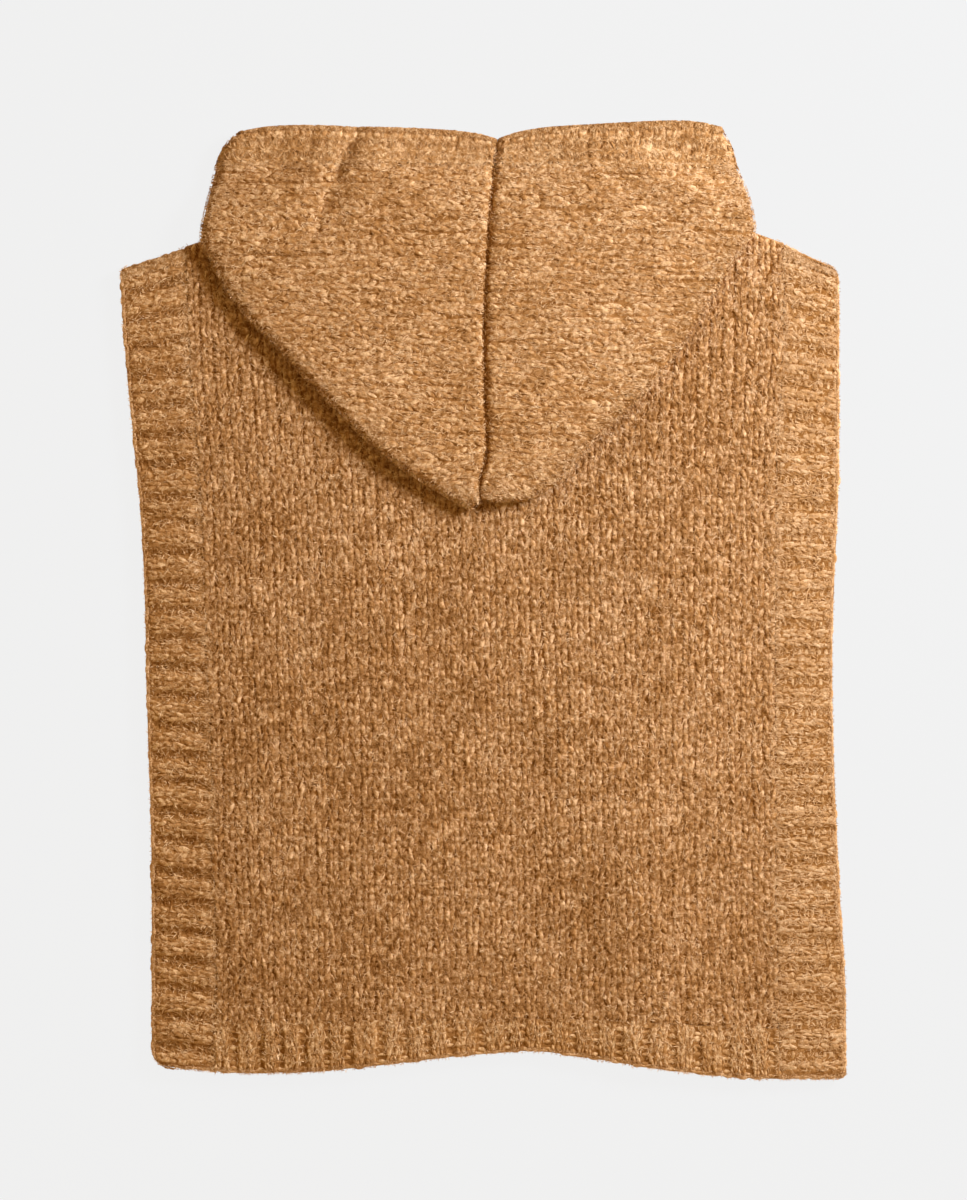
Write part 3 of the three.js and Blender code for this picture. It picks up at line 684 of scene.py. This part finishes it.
def band_place(name, distance, inward, inset=0.0, reach=0.0):
    """x and y on a band: a distance up from the hem, and inward from its outer edge."""
    band = BANDS[name]
    hem, shoulder = band_ends(band, name)
    up = hem[0] + distance
    lean = band_lean(name, distance)
    round_off = corner(band["hem_corner"], distance)
    round_off = round_off + corner(band["shoulder_corner"], shoulder[0] - hem[0] - distance - reach)
    edge_x = read(BODY, f"{name}_edge", up) - band["side"] * (round_off + inset)
    seam_x = read(BODY, f"{name}_seam", up + lean) + band["side"] * SEAM_GAP / 2
    s = inward / BAND_WIDE
    return edge_x + (seam_x - edge_x) * s, up + reach + lean * s


def band_surface(name):
    grooves = np.array(BANDS[name]["grooves"])
    hem, shoulder = band_ends(BANDS[name], name)
    from_hem = grooves - hem[0]
    from_hem = from_hem - band_lean(name, from_hem) / 2

    def surface(distance, inward):
        distance, inward = np.broadcast_arrays(distance, inward)
        x, y = band_place(name, distance, inward)
        fade = np.clip(np.minimum(inward + 2.5, BAND_WIDE - inward) / RIB_FADE, 0, 1)
        fade = fade * np.clip((distance + 3) / RIB_FADE, 0, 1)
        ribs = ribs_at(distance + 1.3 * wander(distance, inward, 45, 14), from_hem, 2.2)
        z = back_high(x, y) - KNIT_DEPTH + BANDS[name]["deep"] * RIB_RISE * (ribs - 0.25) * fade
        z = z - 0.8 * np.minimum(roll(inward) + roll(distance), EDGE_ROLL) + 0.25 * wander(x, y, 30, 12)
        z = z - BAND_SLOPE * (BAND_WIDE - inward) - corner(SHOULDER_TURN, shoulder[0] - hem[0] - distance)
        return np.stack([x, y, z], axis=-1)

    return surface, from_hem


for name, band in BANDS.items():
    surface, from_hem = band_surface(name)
    hem, shoulder = band_ends(band, name)
    length = shoulder[0] - hem[0]
    flat = length - SHOULDER_TURN
    inward = steps_with_ends(BAND_WIDE, 2.5)
    up = np.r_[np.arange(0, EDGE_ROLL, 1.2), np.arange(EDGE_ROLL, flat - 1, 1.8), flat]
    grid_up, grid_in = np.meshgrid(up, inward, indexing="ij")
    outer = surface(grid_up, grid_in)
    outer[..., 2] -= dip(BAND_WIDE - grid_in)
    x, y = band_place(name, grid_up, grid_in)
    inner = np.stack([x, y, back_low(x, y)], axis=-1)
    outer[..., 2] = np.maximum(outer[..., 2], inner[..., 2] + 1)
    outer_rows, inner_rows = list(outer), list(inner)
    for angle in np.radians(np.linspace(75, -75, 7)):
        out, rise = math.cos(angle), math.sin(angle)
        x, y = band_place(name, flat, inward, 0, SHOULDER_TURN * out)
        lifted = swell(x, y) * (rise + 1) / 2
        z = SHOULDER_TURN + (SHOULDER_TURN - 0.5 * roll(inward)) * rise + lifted
        outer_rows.append(np.stack([x, y, z], axis=-1))
        x, y = band_place(name, flat, inward, 0, SEAM_GAP / 2 * out)
        inner_rows.append(np.stack([x, y, SHOULDER_TURN + SEAM_GAP / 2 * rise + lifted], axis=-1))
    for distance in np.linspace(flat, 0, 60):
        x, y = band_place(name, max(distance, BAND_INSET), inward, BAND_INSET * (1 - distance / flat))
        outer_rows.append(np.stack([x, y, np.zeros_like(x)], axis=-1))
        inner_rows.append(np.stack([x, y, np.full_like(x, WALL)], axis=-1))
    outer, inner = np.array(outer_rows), np.array(inner_rows)
    layout = np.stack(np.meshgrid(inward / COURSE, np.arange(len(outer)) / 4), axis=-1)
    piece = cloth_wall(f"{name}_band_knit", outer, inner, layout)
    dress(piece, painted_shade_between_ribs)

    middles, widths = rib_columns(from_hem)
    middles, widths = np.r_[middles, length - 2.5], np.r_[widths, 5.0]
    u, v = np.meshgrid(middles, np.arange(BAND_WIDE - 1.5, 1, -COURSE))
    wale = np.broadcast_to(widths, u.shape).ravel()
    u, v = u.ravel(), v.ravel() + 0.6 * random.normal(size=u.size)
    inside = (u > 4) & (u < length - 1)
    start, end = v_legs(u[inside], v[inside], wale[inside], COURSE, grow=-1, rough=1.3, least=0.5)
    thick = np.tile(0.52 * wale[inside], 2)
    stitches = yarn_lobes(f"{name}_band_stitches", surface, start, end, thick, band["yarn"],
                          rise=band["stitch_rise"])
    u, v = (places.ravel() for places in np.meshgrid(from_hem[1:-1], np.arange(BAND_WIDE - 3, 3, -COURSE)))
    u, v = u[u < flat], v[u < flat]
    half = random.uniform(3, 4, len(u))
    start = np.stack([u - half, v + 0.5 * random.normal(size=len(u))], axis=1)
    end = np.stack([u + half, v + 0.5 * random.normal(size=len(u))], axis=1)
    purls = yarn_lobes(f"{name}_band_purls", surface, start, end, 3.4, band["purl_yarn"],
                       rise=band["purl_rise"])

    def brim(distance, inward):
        place = surface(distance, inward)
        place[..., 2] = surface(np.maximum(distance, BRIM), np.maximum(inward, BRIM))[..., 2] - 0.3
        return place

    # The chain along the outer edge, and the edge stitches at the hem's end.
    from_corner, to_corner = band["hem_corner"] / 2, length - band["shoulder_corner"] / 2
    start, end = bound_off(np.arange(from_corner, to_corner, CHAIN_LINK), 1.5)
    from_end, to_end = bound_off(np.arange(from_corner, BAND_WIDE, CHAIN_LINK), 1.6)
    start, end = np.concatenate([start, from_end[:, ::-1]]), np.concatenate([end, to_end[:, ::-1]])
    edge = yarn_lobes(f"{name}_band_bound_off_edge", brim, start, end, CHAIN_THICK, painted_rim_light_yarn,
                      rise=CHAIN_RISE)
    u, v = random.uniform(0, length - 1, BAND_FIBRES), random.uniform(0, BAND_WIDE, BAND_FIBRES)
    v[:EDGE_WISPS] *= 0.08
    u[EDGE_WISPS:EDGE_WISPS + SEAM_WISPS // 3] = random.uniform(-0.5, 3.5, SEAM_WISPS // 3)
    u[-2 * SEAM_WISPS:-SEAM_WISPS] = length - random.uniform(3, 9, SEAM_WISPS)
    v[-SEAM_WISPS:] = BAND_WIDE + random.uniform(-3, 3, SEAM_WISPS)
    short = np.clip(np.minimum(v, np.minimum(u, length - u)) / 10, 0.3, 1)
    band_fuzz = fuzz(f"{name}_band_fuzz", brim, u, v, 0, band["wisps"], short, least=-1.5)
    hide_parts(band["node"])
    for part in (piece, stitches, purls, edge, band_fuzz):
        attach(part, "root")


# The hood lies folded down on the back: two halves that meet in the crown seam. Their stitch
# columns run into that seam, over the fold at each side, and back under the top side.
CROWN_SEAM = 276.0
FACE_BAND = 19.0
HOOD_GAP = 3.0
TIP_GAP = 1.5
TIP_FROM = 245.0
HOOD_TURN = 7.5
CROWN_DIP = 3.2
HOOD_FIBRES = 17000
TIP_WISPS = 700
UNDER_SHARE = 0.46
OPENING_DEPTH = 52.0
LAYER_GAP = 0.4
CREST = {-1: 6.5, 1: 7.3}
HOOD_HALVES = ((-1, "left"), (1, "right"))
# How far round the side folds, as a share of the turn, whole stitches and wisps go.
STITCHES_ROUND = 0.22
WISPS_ROUND = 0.62
CROWN_LINE = columns_of("depth x y", [
    (0, 11, 351), (22, 8, 329), (60, 4.9, 291), (117, 1.2, 234), (195, 1, 156), (240, 1.9, 111),
    (259, -2, 92.5), (268, -2.7, 84), (276, -2, 76),
])
HOOD_CREASES = [
    # from x, y to x, y, half width, depth
    (-96, 357, -121, 298, 14, 2.7),
    (-96, 357, -103, 342, 5.0, 1.9),
    (-103, 342, -111, 325, 5.0, 2.3),
    (-111, 325, -120, 301, 4.6, 1.5),
    (-120, 301, -126, 280, 4.0, 1.2),
    (-126, 280, -150, 258, 4.5, 1.2),
    (-214, 276, -184, 226, 16, 2.0),
    (-202, 261.5, -155, 260.5, 2.2, 1.0),
    (-198, 255, -162, 250, 2.2, 0.9),
    (-155, 261, -102, 291, 2.4, 0.9),
    (79, 355, 104, 323, 12, 1.4),
    (104, 323, 126, 296, 14, 1.2),
]


def ease(share):
    share = np.clip(share, 0, 1)
    return share * share * (3 - 2 * share)


def past_body(x, y):
    return y - back_top(x)


def hood_bed(x, y, start, drop):
    return (back_high(x, y) + LAYER_GAP) * (1 - ease((past_body(x, y) - start) / drop))


def hood_under(x, y):
    return hood_bed(x, y, 12, 24)


def crease(x, y):
    total = np.zeros(np.broadcast(x, y).shape)
    for from_x, from_y, to_x, to_y, wide, deep in HOOD_CREASES:
        way = np.array([to_x - from_x, to_y - from_y])
        share = np.clip(((x - from_x) * way[0] + (y - from_y) * way[1]) / (way @ way), 0, 1)
        gap = np.hypot(x - from_x - way[0] * share, y - from_y - way[1] * share)
        total += deep * np.exp(-((gap / wide) ** 2))
    return total


def hood_face(x, y, gap):
    across = 1 - ease((np.abs(x) - 15) / 75)
    sag = 4.5 * across * ease((past_body(x, y) - 10) / 36)
    return hood_bed(x, y, 8, 34) + 2 * WALL + gap - sag - crease(x, y)


def hood_place(side, depth, reach, inside=0.0, sink=0.0):
    """A place on a hood half: depth down from the face edge, reach out from the crown seam, over the
    fold and back underneath. inside is 1 on the wall's inner face."""
    depth, reach = np.broadcast_arrays(depth, reach)
    seam_x, seam_y = read(CROWN_LINE, "x", depth), read(CROWN_LINE, "y", depth)
    fold_x, fold_y = read(FOLDS[side], "x", depth), read(FOLDS[side], "y", depth)
    length = np.hypot(seam_x - fold_x, seam_y - fold_y)
    way_x, way_y = (seam_x - fold_x) / length, (seam_y - fold_y) / length
    width = length - SEAM_GAP / 2
    near_tip = ease((depth - TIP_FROM) / (CROWN_SEAM - TIP_FROM))
    gap = HOOD_GAP + (TIP_GAP - HOOD_GAP) * near_tip
    turn = np.minimum(HOOD_TURN, 0.55 * width)
    crest = CREST[side] * np.clip(1 - depth / FACE_BAND, 0, 1)

    def at(distance):
        rise = crest * (1 - np.abs(2 * np.clip(distance / width, 0, 1) - 1) ** 5)
        return fold_x + way_x * distance, fold_y + way_y * distance + rise

    flat = width - turn
    angle = math.pi / 2 - math.pi * np.clip((reach - flat) / (math.pi * turn), 0, 1)
    radius = turn - inside * (turn - np.maximum(turn - WALL, 0.25 * turn))
    distance = np.where(reach < flat, width - reach, turn - radius * np.cos(angle))
    under = reach > flat + math.pi * turn
    distance = np.where(under, turn + reach - flat - math.pi * turn, distance)
    x, y = at(distance)
    turn_x, turn_y = at(turn)
    top, base = hood_face(turn_x, turn_y, gap), hood_under(turn_x, turn_y)
    turn_z = (top + base) / 2 + ((top - base) / 2 - inside * WALL) * np.sin(angle)
    seam_sink = CROWN_DIP * np.exp(-((reach / 3.0) ** 2)) * (1 - 0.6 * near_tip) * (1 - inside)
    top_z = hood_face(x, y, gap) - inside * WALL - seam_sink
    under_z = hood_under(x, y) + inside * WALL
    z = np.where(reach < flat, top_z, np.where(under, under_z, turn_z)) - sink * (reach < flat + 8)
    return np.stack([x, y, z], axis=-1)


def hood_sizes(side, depth):
    """How far the top side reaches from the crown seam, how long the turn is, and the under side."""
    width = np.hypot(read(CROWN_LINE, "x", depth) - read(FOLDS[side], "x", depth),
                     read(CROWN_LINE, "y", depth) - read(FOLDS[side], "y", depth)) - SEAM_GAP / 2
    turn = np.minimum(HOOD_TURN, 0.55 * width)
    under = width * (UNDER_SHARE + (1 - UNDER_SHARE) * np.clip(depth / OPENING_DEPTH, 0, 1)) - turn
    return width - turn, math.pi * turn, np.maximum(under, 0.5)


def hood_surface(side):
    def surface(depth, reach):
        uneven = 0.4 * wander(depth, reach, 60, 20 + side) + 0.2 * wander(depth, reach, 22, 24 + side)
        return hood_place(side, depth, reach, 0, KNIT_DEPTH - uneven)
    return surface


def hood_grid(side, depths, top_steps, under_steps):
    """Depths and reaches of a grid over the top side, the turn and the under side."""
    flat, turn, under = hood_sizes(side, depths)
    shares = np.r_[[0, 1.0 / 150, 2.5 / 150], np.linspace(5.0 / 150, 1, top_steps)]
    reach = np.concatenate([
        flat[:, None] * shares,
        flat[:, None] + turn[:, None] * np.linspace(0.08, 1, 12),
        (flat + turn)[:, None] + under[:, None] * np.linspace(0.06, 1, under_steps),
    ], axis=1)
    return np.broadcast_to(depths[:, None], reach.shape), reach


for side, name in HOOD_HALVES:
    surface = hood_surface(side)
    top = FACE_BAND + SEAM_GAP / 2
    depths = np.r_[top + np.arange(0, 3, 1.0), np.linspace(top + 4, CROWN_SEAM - 3, 66),
                   CROWN_SEAM - 1.2, CROWN_SEAM]
    depth, reach = hood_grid(side, depths, 44, 22)
    outer = surface(depth, reach)
    outer[..., 2] -= dip(depth - top) * (reach < hood_sizes(side, depth)[0] + 8)
    inner = hood_place(side, depth, reach, 1)
    piece = cloth_wall(f"hood_{name}_knit", outer, inner, np.stack([depth / WALE, -reach / COURSE], axis=-1))
    dress(piece, painted_shade_between_ribs)

    columns, rows = np.arange(top + 4, CROWN_SEAM - 1, WALE), np.arange(3.5, 240, COURSE)
    u, v = (places.ravel() for places in np.meshgrid(columns, rows))
    u, v = u + 2.0 * wander(u, v, 48, 30 + side), v + 1.2 * wander(u, v, 60, 33 + side)
    flat, turn, _ = hood_sizes(side, u)
    shown = (v < flat + WISPS_ROUND * turn) & (u < CROWN_SEAM - 8)
    stands = shown & (v < flat + STITCHES_ROUND * turn)
    start, end = v_legs(u[stands], v[stands], 1.06 * WALE, COURSE, grow=-1, rough=1.6, least=1.6)
    over_fold = np.tile((v[stands] - flat[stands]) / turn[stands], 2)
    rise = YARN_RISE * (1 - 0.7 * ease(over_fold / 0.2))
    whole = start[:, 1] - end[:, 1] > 3.6
    stitches = yarn_lobes(f"hood_{name}_stitches", surface, start[whole], end[whole], YARN_THICK,
                          painted_light_raised_yarn, rise=rise[whole])
    near_fold = np.flatnonzero(shown & (v > flat - 4))
    pick = np.r_[random.choice(np.flatnonzero(shown), HOOD_FIBRES),
                 random.choice(near_fold, HOOD_FIBRES // 5)]
    short = 1 - 0.5 * ease((v[pick] - flat[pick] + 3) / 8)
    # The tip has no room for whole stitches, so wisps alone cover it.
    tip_u = np.r_[u[pick], random.uniform(CROWN_SEAM - 12, CROWN_SEAM - 1, TIP_WISPS)]
    tip_flat, tip_turn, _ = hood_sizes(side, tip_u[-TIP_WISPS:])
    tip_v = np.r_[v[pick], random.uniform(0, 1, TIP_WISPS) * (tip_flat + 0.6 * tip_turn)]
    hood_fuzz = fuzz(f"hood_{name}_fuzz", surface, tip_u, tip_v, (0.9 * WALE, 1.3 * COURSE), painted_light_fibres,
                     np.r_[short, np.full(TIP_WISPS, 0.6)], least=1.0, across=0.65)
    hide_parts(f"hood_{name}")
    dressing = [stitches, hood_fuzz]
    if side == -1:
        # The crown seam's own stitches, low down in the groove between the halves, in the darker yarn of
        # painted shade.
        along = np.arange(2, CROWN_SEAM - 2, 3.2)
        start, end = (np.stack([along + way * 1.6, np.full_like(along, way * -1.1)], axis=1)
                      for way in (-1, 1))
        dressing.append(yarn_lobes("crown_seam_stitches", surface, start, end, 3.0, painted_shade_knit, rise=1.5))
    for part in (piece, *dressing):
        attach(part, "root")


# The rib round the face opening, which was picked up along the hood's edge. Its ribs are narrow
# and short and run up to the edge.
FACE_RIB_PITCH = 10.6
FACE_RIB_RISE = 0.49
# How much more the ribs stand out midway along each half.
FACE_RIBS_CLEARER = {-1: 0.0, 1: 1.3}
FACE_CHAIN_THICK = 3.4
EDGE_FIBRES = 9000

for side, name in HOOD_HALVES:
    tall = FACE_BAND - SEAM_GAP / 2
    starts = np.cumsum(np.r_[0, random.uniform(0.8, 1.2, 60) * FACE_RIB_PITCH])

    def face_surface(reach, depth):
        flat, _, _ = hood_sizes(side, depth)
        fade = np.clip(np.minimum(np.minimum(tall - depth + 3, depth), flat - reach + 6) / 6, 0, 1)
        clear = 1 + FACE_RIBS_CLEARER[side] * np.exp(-(((reach - 90) / 40) ** 2))
        rise = FACE_RIB_RISE * clear * (ribs_at(reach, starts) - 0.2) * fade
        sink = KNIT_DEPTH + 0.8 * roll(depth) - rise - 0.25 * wander(depth, reach, 25, 40)
        return hood_place(side, depth, reach, 0, sink)

    depths = np.r_[0, 1, 2, np.linspace(3.2, tall - 1, 8), tall]
    depth, reach = hood_grid(side, depths, 110, 22)
    outer = face_surface(reach, depth)
    outer[..., 2] = np.maximum(outer[..., 2], 0)
    inner = hood_place(side, depth, reach, 1)
    layout = np.stack([reach / WALE, -depth / COURSE], axis=-1)
    piece = cloth_wall(f"hood_edge_{name}_knit", outer, inner, layout)
    dress(piece, painted_light_raised_yarn)

    u, v = np.meshgrid((starts[1:] + starts[:-1]) / 2, np.arange(tall - 1, 1, -COURSE))
    wale = np.broadcast_to(0.95 * np.diff(starts), u.shape).ravel()
    u, v = u.ravel(), v.ravel() + 0.4 * random.normal(size=u.size)
    flat, turn, _ = hood_sizes(side, v)
    shown = (u < flat + 0.6 * turn) & (u > 1.5)
    stands = shown & (u < flat + 0.2 * turn)

    def brim(reach, depth):
        place = face_surface(reach, depth)
        place[..., 2] = face_surface(reach, np.maximum(depth, BRIM))[..., 2] - 0.3
        return place

    start, end = v_legs(u[stands], v[stands], wale[stands], COURSE, grow=-1, rough=1.5, least=0.4)
    thick = np.tile(0.58 * wale[stands], 2)
    stitches = yarn_lobes(f"hood_edge_{name}_stitches", face_surface, start, end, thick, painted_light_raised_yarn,
                          rise=1.6)
    start, end = bound_off(np.arange(2, hood_sizes(side, 0)[0] + 8, CHAIN_LINK), 1.4)
    edge = yarn_lobes(f"hood_edge_{name}_bound_off", brim, start, end, FACE_CHAIN_THICK, painted_rim_light_yarn,
                      rise=CHAIN_RISE)
    pick = random.choice(np.flatnonzero(shown), EDGE_FIBRES)
    down = np.where(random.random(EDGE_FIBRES) < 0.3, random.uniform(-0.3, 3, EDGE_FIBRES), v[pick] + 1)
    short = np.clip(down / 12, 0.35, 1)
    edge_fuzz = fuzz(f"hood_edge_{name}_fuzz", brim, u[pick], down, (WALE, 1), painted_light_raised_yarn, short,
                     across=1.2)
    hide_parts(f"hood_edge_{name}")
    for part in (piece, stitches, edge, edge_fuzz):
        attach(part, "root")


# The plain surface it lies on, the soft light from the upper right, and the camera above it.
# The camera stands so high that a pixel of the photograph is this many metres on the vest.
SCALE = 0.00076
PHOTO_TALL = 1200
SENSOR = 36
LENS = 100

build = bmesh.new()
bmesh.ops.create_grid(build, x_segments=1, y_segments=1, size=30)
bmesh.ops.translate(build, verts=build.verts[:], vec=(0, 0, -0.0003))
mesh = bpy.data.meshes.new("light_table")
build.to_mesh(mesh)
build.free()
floor = bpy.data.objects.new("light_table", mesh)
bpy.context.scene.collection.objects.link(floor)
# A white acrylic light table: it glows a little, so the ground stays even and its shadows soft.
acrylic = bpy.data.materials.new("lit_white_acrylic")
acrylic.use_nodes = True
shader = acrylic.node_tree.nodes["Principled BSDF"]
shader.inputs["Base Color"].default_value = (0.02, 0.02, 0.02, 1)
shader.inputs["Roughness"].default_value = 1.0
shader.inputs["Specular IOR Level"].default_value = 0.0
shader.inputs["Emission Color"].default_value = (1, 1, 1, 1)
shader.inputs["Emission Strength"].default_value = 0.85
floor.data.materials.append(acrylic)

world = bpy.data.worlds.new("studio")
world.use_nodes = True
world.node_tree.nodes["Background"].inputs["Color"].default_value = (1.0, 0.735, 0.31, 1)
world.node_tree.nodes["Background"].inputs["Strength"].default_value = 0.54
bpy.context.scene.world = world

light = bpy.data.lights.new("softbox", "AREA")
light.energy = 55
light.color = (0.935, 1.055, 1.24)
light.shape = "RECTANGLE"
light.size, light.size_y = 0.5, 0.5
softbox = bpy.data.objects.new("softbox", light)
bpy.context.scene.collection.objects.link(softbox)
softbox.location = (1.35, 0.75, 0.95)
softbox.rotation_euler = (-softbox.location).to_track_quat("-Z", "Y").to_euler()

camera = bpy.data.objects.new("camera", bpy.data.cameras.new("camera"))
bpy.context.scene.collection.objects.link(camera)
camera.data.lens = LENS
camera.location = (0, 0, PHOTO_TALL * SCALE / SENSOR * LENS + 0.012)
camera.data.clip_end = 50
bpy.context.scene.camera = camera
bpy.context.scene.view_settings.view_transform = "Standard"
